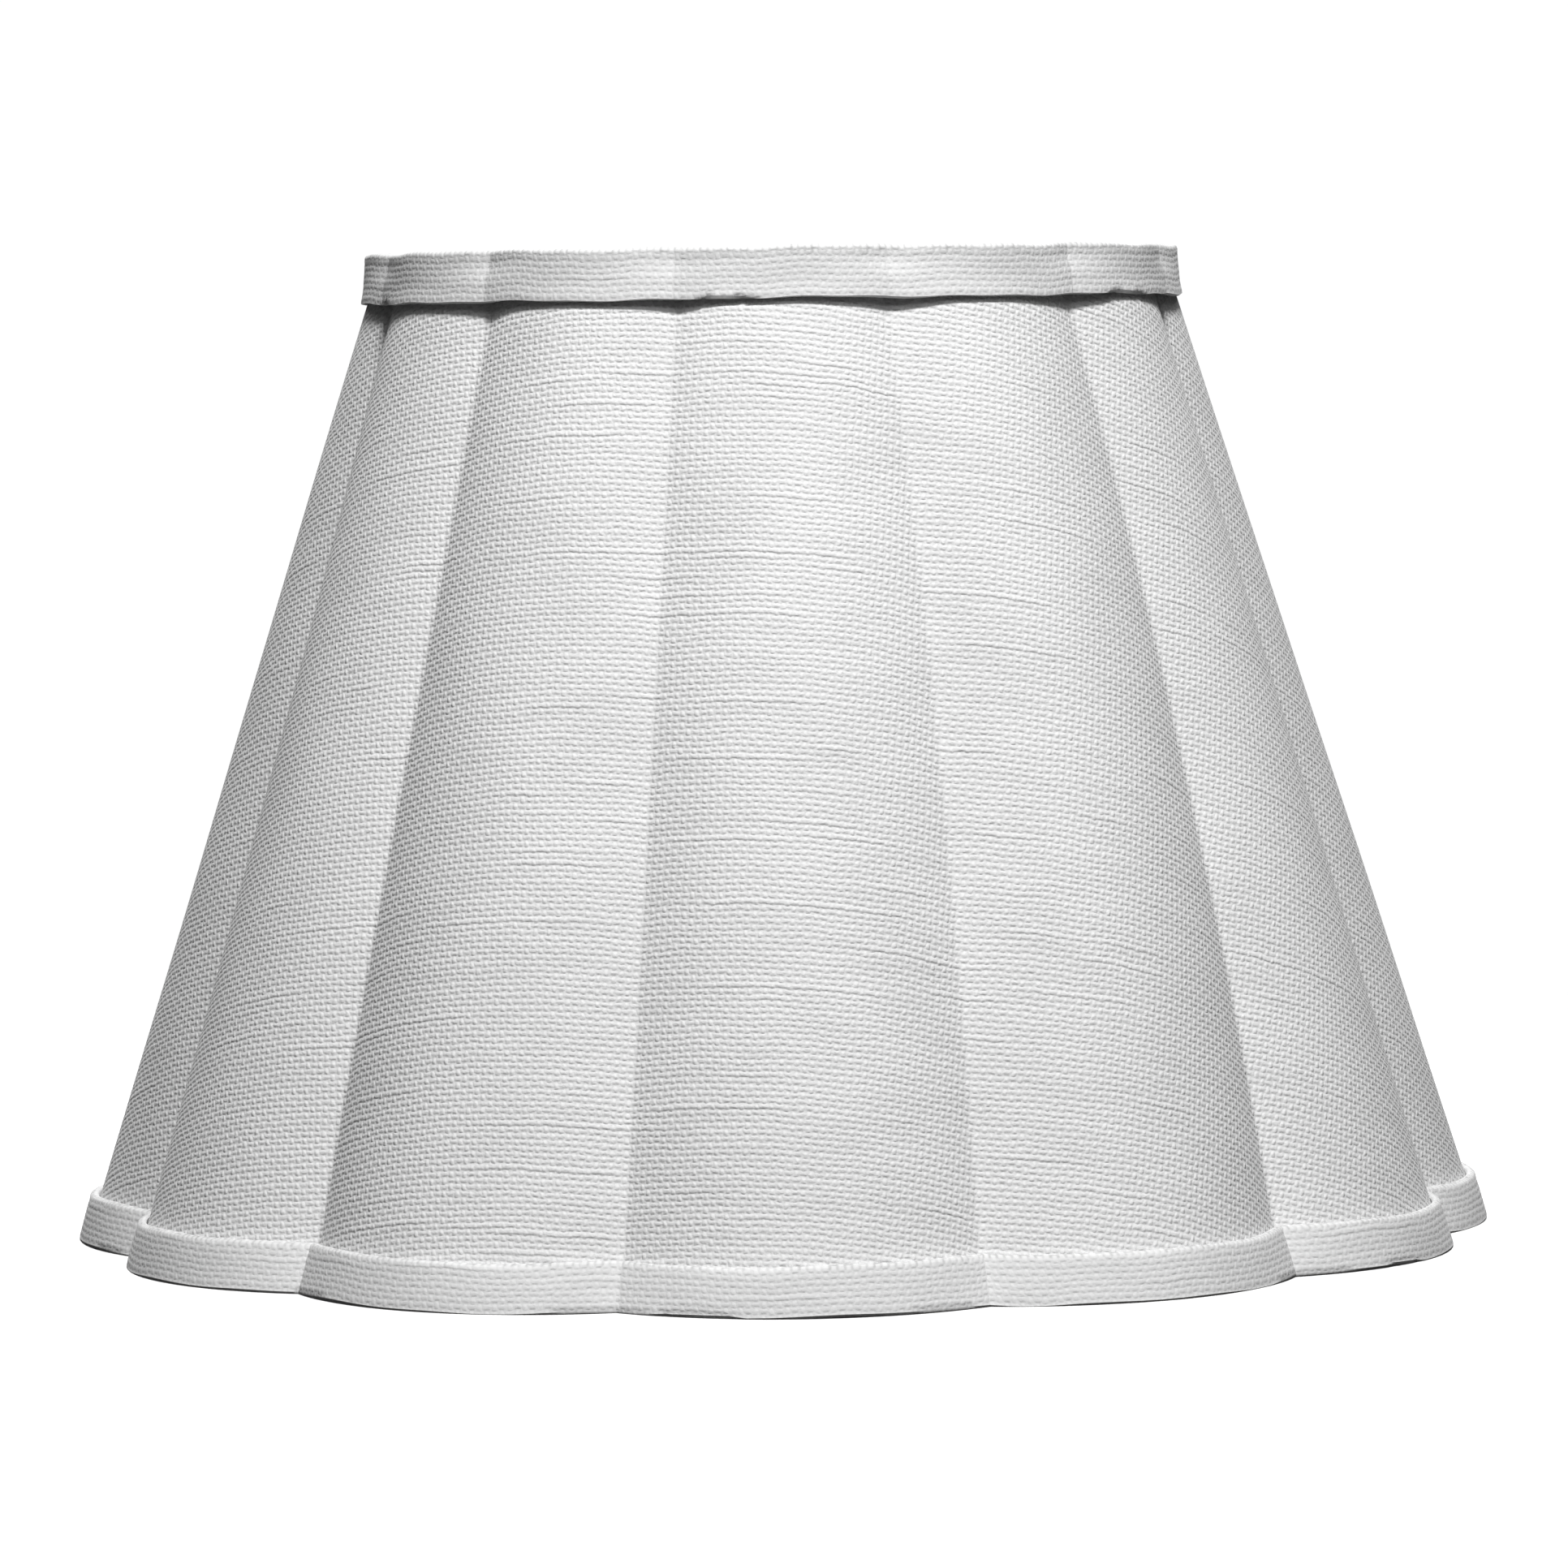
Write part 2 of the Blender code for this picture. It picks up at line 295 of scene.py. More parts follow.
def linen(name, light, shade, relief, dash_shadow_share, slub_share, folds=()):
    """Woven linen on a UV map in metres: U along the weft, V along the warp.

    Each fold is the height of a folded edge and how far from it shade is painted between the warp
    yarns.
    """
    made, tree, shader = new_material(name, 0.9, Sheen_Weight=0.1, Sheen_Roughness=0.5,
                                      Specular_IOR_Level=0.2)
    flat = add(tree, "UVMap", uv_map="cloth")
    placed = strayed(tree, flat)
    counted = add(tree, "VectorMath", {0: placed, 1: (1 / WARP_PITCH, 1 / WEFT_PITCH, 1)},
                  operation="MULTIPLY")
    u = add(tree, "SeparateXYZ", {0: counted}, out=0)
    v = add(tree, "SeparateXYZ", {0: counted}, out=1)
    warp_wave = wave(tree, u)
    weft_wave = wave(tree, v)
    # A slub belongs to one weft yarn, so its noise is read at the yarn's number.
    row = add(tree, "Math", {0: v}, operation="FLOOR")
    along = add(tree, "Math", {0: u, 1: 0.035}, operation="MULTIPLY")
    spread = add(tree, "Math", {0: row, 1: 7.31}, operation="MULTIPLY")
    yarn = add(tree, "CombineXYZ", {0: along, 1: spread})
    thick = add(tree, "TexNoise", {"Vector": yarn, "Scale": 1.0, "Detail": 1.0})
    slub = add(tree, "MapRange", {"Value": thick, "From Min": 0.65 - slub_share,
                                  "From Max": 0.69 - slub_share})
    cloth = pillows(tree, u, v, warp_wave, weft_wave, slub)
    # Painted shadow under the weft's pillows and the slubs, stronger in some places than others.
    dash = painted_dash_shadows(tree, v, warp_wave, weft_wave, slub)
    dark = uneven(tree, placed, 420.0, 2.0, 0.25 * dash_shadow_share, 1.5 * dash_shadow_share)
    painted_dash_shade = add(tree, "Math", {0: dash, 1: dark}, operation="MULTIPLY")
    # Painted shade in the low places of the weave, where the yarns dip.
    painted_pit_shade = add(tree, "MapRange", {"Value": cloth, "From Min": 0.9, "From Max": 0.55,
                                  "To Max": 0.06})
    painted_pit_shade = painted_fold_slot_shade(tree, folds, warp_wave, dark, painted_pit_shade)
    # Single yarns are a touch lighter or darker than their neighbours, and so is the whole cloth.
    toned = uneven(tree, yarn, 2.3, 3.0, -0.04, 0.06)
    mottled = uneven(tree, flat, 45.0, 4.0, -0.03, 0.05)
    # Painted shade of the pillows, low places and folds, with the yarns' own tone, sets how far the
    # colour goes from light to shade.
    painted_gap_shade = add(tree, "Math", {0: painted_dash_shade, 1: painted_pit_shade}, operation="ADD")
    tints = add(tree, "Math", {0: toned, 1: mottled}, operation="ADD")
    share = add(tree, "Math", {0: painted_gap_shade, 1: tints}, operation="ADD", use_clamp=True)
    colour = blend(tree, share, linear(light), linear(shade))
    tree.links.new(with_neps(tree, flat, colour), shader.inputs["Base Color"])
    # The same yarns, and the fibres on them, make the relief.
    fuzz = add(tree, "TexNoise", {"Vector": flat, "Scale": 1900.0, "Detail": 3.0})
    raised = add(tree, "Math", {0: fuzz, 1: 0.8, 2: cloth}, operation="MULTIPLY_ADD")
    bump = add(tree, "Bump", {"Height": raised, "Strength": 1.0, "Distance": relief})
    tree.links.new(bump, shader.inputs["Normal"])
    return made


cover_linen = linen("bleached linen, plain weave", "#dedede", "#5c5c5c", 0.17 * MM, 0.3, 0.012)
# The strips get painted shade between the warp yarns at their two folded edges.
strip_linen = linen("bleached linen, pressed strip", "#dfdfdf", "#5c5c5c", 0.085 * MM, 0.27, 0.0,
                    folds=((cad_high[2], 1.8 * MM), (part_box("bottom_trim")[1][2], 0.9 * MM)))
print("linen yarns", round(WARP_PITCH / MM, 2), "by", round(WEFT_PITCH / MM, 2), "mm apart")

# %% [markdown]
# ## Styrene and zinc
# The lining is thin extruded polystyrene sheet: white, satin, faintly translucent. The wires are
# drawn steel with a bright zinc coat, which gives soft streaks along the wire.

# %% Styrene and wire materials
styrene, tree, shader = new_material("white styrene sheet", 0.42, IOR=1.59,
                                     Subsurface_Weight=0.15, Subsurface_Scale=0.001)
place = add(tree, "TexCoord", out=3)
haze = add(tree, "TexNoise", {"Vector": place, "Scale": 35.0, "Detail": 3.0})
white = blend(tree, haze, linear("#ecebe6"), linear("#e2e1db"))
tree.links.new(white, shader.inputs["Base Color"])
grain = add(tree, "TexNoise", {"Vector": place, "Scale": 900.0, "Detail": 2.0})
bump = add(tree, "Bump", {"Height": grain, "Strength": 0.15, "Distance": 0.1 * MM})
tree.links.new(bump, shader.inputs["Normal"])

zinc, tree, shader = new_material("zinc-plated steel wire", 0.3, Metallic=1.0)
place = add(tree, "TexCoord", out=3)
bloom = add(tree, "TexNoise", {"Vector": place, "Scale": 220.0, "Detail": 4.0})
metal = blend(tree, bloom, linear("#b9bcc0"), linear("#8f9398"))
tree.links.new(metal, shader.inputs["Base Color"])
dull = add(tree, "MapRange", {"Value": bloom, "From Min": 0.3, "From Max": 0.7,
                              "To Min": 0.24, "To Max": 0.42})
tree.links.new(dull, shader.inputs["Roughness"])
for node in ("top_ring", "bottom_ring"):
    for seat in nodes[node].material_slots:
        seat.material = zinc
print("materials:", [m.name for m in (cover_linen, strip_linen, styrene, zinc)])

# %% [markdown]
# ## The lobed line
# Seen from above, each lobe is an arc from valley to valley. A place on the shade is named by how
# many lobes it lies from the seam, so that whole numbers are valleys and halves are crests, and by
# its height. The seam is at the back, and the middle of the sheet, where the yarns lie level, is the
# valley opposite it.

# %% Points on a lobed line
SEAM_ANGLE = math.radians(75)          # a valley at the back


def on_lobes(count, crest, valley, z, turn=0.0):
    """The point `count` lobes past the seam on a line of arcs with these radii."""
    half = LOBE_TURN / 2
    chord = valley * math.sin(half)
    rise = crest - valley * math.cos(half)
    radius = (chord ** 2 + rise ** 2) / (2 * rise)
    centre = crest - radius
    swing = math.atan2(chord, valley * math.cos(half) - centre)
    lobe = math.floor(count)
    angle = swing * (2 * (count - lobe) - 1)
    x = centre + radius * math.cos(angle)
    y = radius * math.sin(angle)
    spin = SEAM_ANGLE + (lobe + 0.5) * LOBE_TURN + turn
    return Vector((x * math.cos(spin) - y * math.sin(spin),
                   x * math.sin(spin) + y * math.cos(spin), z))


def mix(a, b, share):
    return a + (b - a) * share


def sheet_radii(z):
    """Crest and valley radius of the linen's outer face at a height."""
    share = (z - bottom_z) / (top_z - bottom_z)
    return mix(bottom_crest, top_crest, share), mix(bottom_valley, top_valley, share)


# Handwork: how far single valleys bow sideways at mid height, by their number from the seam.
VALLEY_BOWS = {2: -1.6 * MM, 4: 2.6 * MM, 5: -0.6 * MM, 7: 1.9 * MM, 8: 4.6 * MM, 10: 1.2 * MM}


def bow(count, z):
    """Angle by which the valleys' bowing turns a point of the sheet."""
    share = (z - bottom_z) / (top_z - bottom_z)
    lobe = math.floor(count)
    drift = mix(VALLEY_BOWS.get(lobe, 0.0), VALLEY_BOWS.get(lobe + 1, 0.0), count - lobe)
    return drift * math.sin(math.pi * share) / sheet_radii(z)[1]


def ripple(count, z, size):
    """Slow unevenness of cloth that was laid by hand, the same on every run."""
    a = 2 * math.pi * count / LOBES
    return size * (math.sin(5 * a + 31 * z) + math.sin(11 * a - 47 * z + 1.3)
                   + 0.7 * math.sin(23 * a + 90 * z + 0.4)) / 2.7


# %% [markdown]
# ## Rolling a sheet
# A cloth piece starts as a flat grid, which is what it is on the cutting table. Each corner of the
# grid is then put where the bent sheet has it. The columns are closest together at the valleys,
# where the sheet is creased. A last step lays the bent sheet flat again, strip by strip, without
# stretching it: that gives the true place of every point on the bolt of cloth, and so the weave's
# direction on each lobe.

# %% Helpers for sheets
CROWDING = 0.78                         # 0 spaces the columns evenly, 1 packs them at the valleys


def flat_grid(name, columns, rows):
    """A new grid object, named, alone in the selection."""
    bpy.ops.object.select_all(action="DESELECT")
    bpy.ops.mesh.primitive_grid_add(x_subdivisions=columns, y_subdivisions=rows, size=1)
    made = bpy.context.object
    made.name = name
    made.data.name = name
    return made


def ramp(value, start, end):
    """0 at the start and 1 at the end, the same beyond them, and an even slope between."""
    return min(1.0, max(0.0, (value - start) / (end - start)))


def valley_ease(share):
    """Moves evenly spaced columns of one lobe towards its two valleys."""
    return share - CROWDING * math.sin(2 * math.pi * share) / (2 * math.pi)


def finish_modifier(piece, kind, **settings):
    """Adds a modifier to a piece and applies it."""
    bpy.ops.object.select_all(action="DESELECT")
    bpy.context.view_layer.objects.active = piece
    piece.select_set(True)
    made = piece.modifiers.new(kind, kind)
    for name, value in settings.items():
        setattr(made, name, value)
    bpy.ops.object.modifier_apply(modifier=made.name)


def apex(near, far, from_near, from_far, heading, across):
    """The flat point at two distances from the ends of a side that runs along `heading`."""
    base = (far - near).length
    reach = (from_near ** 2 - from_far ** 2 + base ** 2) / (2 * base)
    return near + heading * reach + across * math.sqrt(max(from_near ** 2 - reach ** 2, 0.0))


def unrolled(tops, bottoms):
    """Lays the strips between neighbouring rulings flat, and gives each ruling's two ends."""
    flat = [(Vector((0.0, (tops[0] - bottoms[0]).length)), Vector((0.0, 0.0)))]
    for i in range(len(tops) - 1):
        top, bottom = flat[-1]
        along = (top - bottom).normalized()
        side = Vector((along.y, -along.x))
        low = apex(bottom, top, (bottoms[i + 1] - bottoms[i]).length,
                   (bottoms[i + 1] - tops[i]).length, along, side)
        heading = (top - low).normalized()
        across = Vector((heading.y, -heading.x))
        high = apex(low, top, (tops[i + 1] - bottoms[i + 1]).length,
                    (tops[i + 1] - tops[i]).length, heading, across)
        flat.append((high, low))
    return flat


def set_cloth_map(piece, place):
    """Writes a UV map in metres, from each corner's place on the flat cloth."""
    layer = piece.data.uv_layers.active
    layer.name = "cloth"
    for loop, corner in zip(piece.data.loops, layer.data):
        corner.uv = place[loop.vertex_index]


# %% [markdown]
# ## The cover
# One sheet of linen goes all the way round. At the seam its end laps over its start by 8 mm. The
# sheet's cut is a wide fan, because the shade is a cone: on the flat cloth its middle is level and
# its ends slope down, which is why the yarns climb or fall more the further a lobe is from the
# middle.

# %% Make the linen cover
COVER_THICKNESS = 0.7 * MM
LAP = 0.1                               # of a lobe, about 8 mm at the foot
LAP_LIFT = COVER_THICKNESS + 0.1 * MM
LAP_RAMP = 0.03                         # of a lobe, over which the end rises onto the start
COLUMNS_PER_LOBE = 40
COVER_ROWS = 40
CREASE_WIDTH = 1.0 * MM
CREASE_FILL = 0.22 * MM
SHEET_RIPPLE = 0.12 * MM
VALLEY_SHARE = 1.08                     # the sheet slopes at a valley, so a step out is longer there


def lap_lift(count):
    """How far the sheet stands up where its end passes over its start."""
    return LAP_LIFT * ramp(count, LOBES - LAP_RAMP, LOBES)


def crease(count, crest):
    """Fills the sharp bottom of a valley a little, as thick cloth does."""
    share = abs(count - round(count))
    away = share * crest * LOBE_TURN
    return CREASE_FILL * max(0.0, 1 - away / CREASE_WIDTH) ** 2


def sheet_point(count, z, inset, lift):
    """A point of the sheet at a lobe count and height, so far inside the linen's outer face."""
    crest, valley = sheet_radii(z)
    rise = lift - inset + crease(count, crest) + ripple(count, z, SHEET_RIPPLE)
    return on_lobes(count, crest + rise, valley + rise * VALLEY_SHARE, z, bow(count, z))


def rolled_sheet(name, columns, rows, end, inset, lift):
    """A grid rolled into the lobed cone. Gives the piece and each corner's place on flat cloth."""
    piece = flat_grid(name, columns, rows)

    def count_at(share):
        whole = share * end
        lobe = math.floor(whole)
        return lobe + valley_ease(whole - lobe)

    def place(count, z):
        return sheet_point(count, z, inset, lift(count))

    shares = sorted({round(v.co.x + 0.5, 6) for v in piece.data.vertices})
    tops = [place(count_at(s), top_z) for s in shares]
    bottoms = [place(count_at(s), bottom_z) for s in shares]
    strip = dict(zip(shares, unrolled(tops, bottoms)))
    middle_top, middle_bottom = strip[min(shares, key=lambda s: abs(s * end - LOBES / 2))]
    level = (middle_top - middle_bottom).normalized()
    squared = {}
    for v in piece.data.vertices:
        share, up = round(v.co.x + 0.5, 6), v.co.y + 0.5
        high, low = strip[share]
        spot = low.lerp(high, up) - middle_bottom
        squared[v.index] = (0.5 + spot.x * level.y - spot.y * level.x,
                            0.5 + spot.x * level.x + spot.y * level.y)
        v.co = place(count_at(share), mix(bottom_z, top_z, up))
    set_cloth_map(piece, squared)
    return piece, squared


cover, cover_flat = rolled_sheet("linen_cover_sheet", round(COLUMNS_PER_LOBE * (LOBES + LAP)),
                                 COVER_ROWS, LOBES + LAP, 0.0, lap_lift)
finish_modifier(cover, "SOLIDIFY", thickness=COVER_THICKNESS, offset=-1, use_even_offset=True)
bpy.ops.object.shade_smooth_by_angle(angle=math.radians(28))
cover.data.materials.append(cover_linen)
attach(cover, "root")
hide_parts("linen_cover")

# %% [markdown]
# ## The lining
# The same roll, just inside the linen and thinner, with its two edges butted at the same valley.

# %% Make the styrene lining
LINING_THICKNESS = 0.4 * MM
LINING_INSET = 1.05 * (COVER_THICKNESS + 0.15 * MM)     # leaves 0.19 mm behind the linen
BUTT_GAP = 0.004                        # of a lobe
LINING_COLUMNS_PER_LOBE = 24
LINING_ROWS = 24


def no_lift(count):
    return 0.0


lining, _ = rolled_sheet("styrene_lining", LINING_COLUMNS_PER_LOBE * LOBES, LINING_ROWS,
                         LOBES - BUTT_GAP, LINING_INSET, no_lift)
finish_modifier(lining, "SOLIDIFY", thickness=LINING_THICKNESS, offset=-1, use_even_offset=True)
bpy.ops.object.shade_smooth_by_angle(angle=math.radians(28))
lining.data.materials.append(styrene)
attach(lining, "root")
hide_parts("styrene_liner")
print("lining faces:", len(lining.data.polygons))

# %% [markdown]
# ## The folded strips
# Each strip of linen has its outer edge turned under, so that edge is a soft double fold. It lies on
# the outside of the sheet, goes round the ring and comes back inside. Being double, it is too stiff
# to sink into the valleys with the sheet, so it bridges them and leaves a small gap there. Its ends
# lap at the seam, over the lap of the sheet. Its shape is drawn as stations across the strip: each
# one has a height and the radii of its crest and valley.

# %% Helpers for strips
STRIP_THICKNESS = 0.6 * MM
STRIP_LAP = 0.16                        # of a lobe
STRIP_COLUMNS_PER_LOBE = 30
STRIP_LIFT = 1.25 * STRIP_THICKNESS     # where the strip's end passes over its start
STRIP_RIPPLE = 0.2 * MM
EDGE_WAVE = 0.36 * MM                   # how far the strip's edges run up and down
ROUND_THE_LOBES = 1.03                  # a lobed line is longer than its circle


class Section:
    """The middle line of a folded strip, as stations of height, crest radius and valley radius."""

    def __init__(self, ring_z, ring_crest, ring_valley, away):
        self.ring = (ring_z, ring_crest, ring_valley)
        self.away = away
        self.stations = []

    def off_sheet(self, z, crest_off, valley_off):
        """A station so far beyond the sheet's outer face."""
        crest, valley = sheet_radii(z)
        self.stations.append((z, crest + crest_off * MM, valley + valley_off * MM))

    def off_ring(self, rise, crest_off, valley_off):
        """A station so far from the ring's middle, with heights counted away from the sheet."""
        z, crest, valley = self.ring
        self.stations.append((z + self.away * rise * MM, crest + crest_off * MM,
                              valley + valley_off * MM))

    def half_turn(self, z, bulge, crest_span, valley_span, steps):
        """Stations round the hem's fold. Each span is its middle and half its width, off the sheet."""
        for step in range(1, steps):
            turn = math.pi * step / steps
            self.off_sheet(z + bulge * math.sin(turn),
                           crest_span[0] - crest_span[1] * math.cos(turn),
                           valley_span[0] - valley_span[1] * math.cos(turn))


def strip_point(stations, index, count, lift, edge, facing):
    """A point of the strip, lifted along the outside of its section where its ends lap."""
    z, crest, valley = stations[index]
    before = stations[max(index - 1, 0)]
    after = stations[min(index + 1, len(stations) - 1)]
    run = Vector((after[1] - before[1], after[0] - before[0])).normalized()
    rise = lift * run.y * facing
    return on_lobes(count, crest + rise, valley + rise, z - lift * run.x * facing + edge)


def folded_strip(name, section, facing, node):
    """Bends a grid round the shade along the stations, and gives it thickness and a cloth map."""
    stations = section.stations
    piece = flat_grid(name, STRIP_COLUMNS_PER_LOBE * LOBES, len(stations) - 1)
    lengths = [0.0]
    for a, b in zip(stations, stations[1:]):
        lengths.append(lengths[-1] + math.hypot(b[0] - a[0], b[1] - a[1]))
    outside = stations[8:12]
    mean = sum(crest + valley for z, crest, valley in outside) / (2 * len(outside))
    around = 2 * math.pi * mean * ROUND_THE_LOBES
    flat = {}
    for v in piece.data.vertices:
        share = v.co.x + 0.5
        index = round((v.co.y + 0.5) * (len(stations) - 1))
        whole = share * (LOBES + STRIP_LAP)
        lobe = math.floor(whole)
        count = lobe + valley_ease(whole - lobe)
        # The strip rises onto its own start, and over the lap of the sheet under it.
        lift = STRIP_LIFT * ramp(count, LOBES - LAP_RAMP, LOBES + 0.01)
        from_lap = abs((count + LOBES / 2) % LOBES - LOBES / 2 - LAP / 2)
        lift += LAP_LIFT * ramp(from_lap, LAP + 0.04, LAP - 0.01)
        lift += ripple(count + 3, 0.0, STRIP_RIPPLE)
        edge = ripple(count * 1.5, 0.02, EDGE_WAVE)
        flat[v.index] = (0.1 + around * count / LOBES, 0.3 + lengths[index] * section.away)
        v.co = strip_point(stations, index, count, lift, edge, facing)
        v.co.z = max(v.co.z, STRIP_THICKNESS / 2)
    set_cloth_map(piece, flat)
    if facing < 0:
        bpy.ops.object.mode_set(mode="EDIT")
        bpy.ops.mesh.select_all(action="SELECT")
        bpy.ops.mesh.flip_normals()
        bpy.ops.object.mode_set(mode="OBJECT")
    finish_modifier(piece, "SOLIDIFY", thickness=STRIP_THICKNESS, offset=0)
    bpy.ops.object.shade_smooth_by_angle(angle=math.radians(40))
    piece.data.materials.append(strip_linen)
    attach(piece, "root")
    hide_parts(node)


# %% [markdown]
# The top strip is 10.5 mm deep and stands nearly upright. Its lower edge lies close on the crests and
# stands off 2.5 mm in the valleys, which throws a row of small dark arches on the sheet. The stations
# run down the hidden hem, round the lower fold, up the outside, over the ring and down inside.

# %% Make the top strip
RIM_VALLEY_SHARE = 1.12                 # the line slopes at a valley, so a step off is longer there
top_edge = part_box("top_trim")[0][2]
section = Section(top_ring_z, top_ring_crest, top_ring_valley, 1)
for rise in (6.0, 3.5, 0.9):
    section.off_sheet(top_edge + rise * MM, 0.5, 1.9)
section.half_turn(top_edge + 0.42 * MM, -0.12 * MM, (0.85, 0.35), (2.25, 0.35), 6)
for rise, crest_off, valley_off in ((0.8, 1.2, 2.6), (2.2, 1.35, 2.75), (3.6, 1.6, 3.0),
                                    (5.0, 1.95, 3.3)):
    section.off_sheet(top_edge + rise * MM, crest_off, valley_off)
for rise, off in ((0.0, 3.2), (0.8, 3.18), (1.4, 3.1), (1.9, 3.12), (2.5, 3.1), (2.9, 3.0),
                  (3.1, 2.8), (3.18, 2.5), (3.2, 1.8), (3.2, 0.8), (3.2, -0.4), (3.1, -1.6),
                  (2.7, -2.5), (1.9, -3.0), (0.9, -3.2), (0.0, -3.2)):
    section.off_ring(rise, off, off * RIM_VALLEY_SHARE)
for drop, crest_off, valley_off in ((2.0, -2.85, -3.0), (4.0, -2.55, -2.6)):
    section.off_sheet(top_ring_z - drop * MM, crest_off, valley_off)
folded_strip("top_strip", section, 1, "top_trim")

# %% [markdown]
# The bottom strip is as deep. Its upper edge is a rounded lip, 2 mm wide, that catches the light, and
# from there it runs straight down and out to the foot, where it bridges the valleys a little. The
# shade stands on the flattened fold under the ring.

# %% Make the bottom strip
LEG_STEPS = 7
FOOT_BRIDGE = 1.5                       # in the valleys the fold stands so much further off outside
bottom_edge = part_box("bottom_trim")[1][2]
section = Section(bottom_ring_z, bottom_ring_crest, bottom_ring_valley, -1)
for drop in (5.5, 3.5, 1.6):
    section.off_sheet(bottom_edge - drop * MM, 0.5, 0.6)
section.half_turn(bottom_edge - 0.9 * MM, 0.6 * MM, (1.25, 0.75), (1.45, 0.85), 8)
top_of_leg = section.stations[-1]
foot = (0.5 * MM, bottom_ring_crest + 3.25 * MM, bottom_ring_valley + 4.8 * MM)
for step in range(1, LEG_STEPS + 1):
    share = step / LEG_STEPS
    pull = 0.1 * MM if step == 1 else 0.0       # under the lip the strip is pulled in
    section.stations.append((mix(top_of_leg[0], foot[0], share),
                             mix(top_of_leg[1], foot[1], share) - pull,
                             mix(top_of_leg[2], foot[2], share) - pull))
for rise, off in ((3.13, 3.18), (3.2, 2.95), (3.2, 2.5), (3.2, 1.9), (3.2, 1.1), (3.2, 0.0),
                  (3.2, -1.0), (3.1, -1.8), (2.7, -2.4), (2.0, -2.75), (1.0, -2.9), (0.0, -2.9)):
    section.off_ring(rise, off, off * FOOT_BRIDGE if off > 0 else off)
# The leg inside keeps clear of both the ring and the sheet.
for z in (5.5 * MM, 7.0 * MM, 8.5 * MM):
    crest, valley = sheet_radii(z)
    section.stations.append((z, min(bottom_ring_crest - 2.75 * MM, crest - 1.75 * MM),
                             min(bottom_ring_valley - 2.75 * MM, valley - 1.9 * MM)))
folded_strip("bottom_strip", section, -1, "bottom_trim")

# %% [markdown]
# ## The spider
# Three drawn wires leave the top ring, dip by half an inch and are spot welded on a stamped washer.

# %% Make the washer
hub_low, hub_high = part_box("spider_washer")
hub_radius = hub_high[0]
HUB_HOLE = 5.55 * MM                    # radius, to pass a harp's stud
bpy.ops.object.select_all(action="DESELECT")
bpy.ops.mesh.primitive_circle_add(vertices=64, radius=HUB_HOLE, location=(0, 0, hub_high[2]))
hub = bpy.context.object
hub.name = "hub_washer"
bpy.ops.object.transform_apply(location=True, rotation=True, scale=True)
bpy.ops.object.mode_set(mode="EDIT")
bpy.ops.mesh.select_all(action="SELECT")
bpy.ops.mesh.extrude_region_move()
growth = hub_radius / HUB_HOLE
bpy.ops.transform.resize(value=(growth, growth, 1), center_override=(0, 0, hub_high[2]))
bpy.ops.mesh.select_all(action="SELECT")
bpy.ops.mesh.normals_make_consistent(inside=False)
bpy.ops.object.mode_set(mode="OBJECT")
if hub.data.polygons[0].normal.z < 0:
    hub.data.flip_normals()
finish_modifier(hub, "SOLIDIFY", thickness=hub_high[2] - hub_low[2], offset=-1)
finish_modifier(hub, "BEVEL", width=0.3 * MM, segments=3, limit_method="ANGLE")
bpy.ops.object.shade_smooth_by_angle(angle=math.radians(30))
hub.data.materials.append(zinc)
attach(hub, "root")
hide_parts("spider_washer")
print("washer", round(2 * hub_radius / MM, 1), "mm across")

# %% Make the arms
ARM_SHOULDER = 10 * MM
ARM_LAP = 4 * MM
ARMS = 3
DIP_STEPS = 16


def arm_turn(number):
    """The angle of an arm, which lies at a valley."""
    return VALLEY_ANGLE + (number - 1) * 2 * math.pi / ARMS


for number in range(1, ARMS + 1):
    node = f"spider_arm_{number}"
    low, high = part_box(node)
    turn = arm_turn(number)
    outer = max(math.hypot(v.co.x, v.co.y) for v in nodes[node].data.vertices)
    hub_z = low[2] + wire / 2
    ring_z = high[2] - wire / 2
    line = [(outer, ring_z), (outer - ARM_SHOULDER, ring_z)]
    for step in range(1, DIP_STEPS):
        share = step / DIP_STEPS
        ease = (1 - math.cos(math.pi * share)) / 2
        line.append((mix(outer - ARM_SHOULDER, hub_radius, share), mix(ring_z, hub_z, ease)))
    line += [(hub_radius, hub_z), (hub_radius - ARM_LAP, hub_z)]
    bpy.ops.object.select_all(action="DESELECT")
    bpy.ops.curve.primitive_nurbs_path_add()
    arm = bpy.context.object
    arm.name = f"arm_wire_{number}"
    curve = arm.data
    curve.splines.clear()
    spline = curve.splines.new("POLY")
    spline.points.add(len(line) - 1)
    for point, (r, z) in zip(spline.points, line):
        point.co = (r * math.cos(turn), r * math.sin(turn), z, 1)
    curve.bevel_depth = wire / 2
    curve.bevel_resolution = 6
    curve.use_fill_caps = True
    bpy.ops.object.convert(target="MESH")
    arm = bpy.context.object
    bpy.ops.object.mode_set(mode="EDIT")
    bpy.ops.mesh.select_all(action="SELECT")
    bpy.ops.mesh.remove_doubles(threshold=0.00001)
    bpy.ops.mesh.normals_make_consistent(inside=False)
    bpy.ops.object.mode_set(mode="OBJECT")
    finish_modifier(arm, "BEVEL", width=0.25 * MM, segments=2, limit_method="ANGLE",
                    angle_limit=math.radians(50))
    bpy.ops.object.shade_smooth_by_angle(angle=math.radians(40))
    arm.data.materials.clear()
    arm.data.materials.append(zinc)
    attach(arm, "root")
    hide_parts(node)
    print(arm.name, "spans", round((outer - hub_radius + ARM_LAP) / MM), "mm from the ring inwards")

# %% [markdown]
# Each arm is brazed to the top ring. The joint is a small smooth bead of filler that has run into the
# corner between the two wires, so it is wider along the wires than it is high.

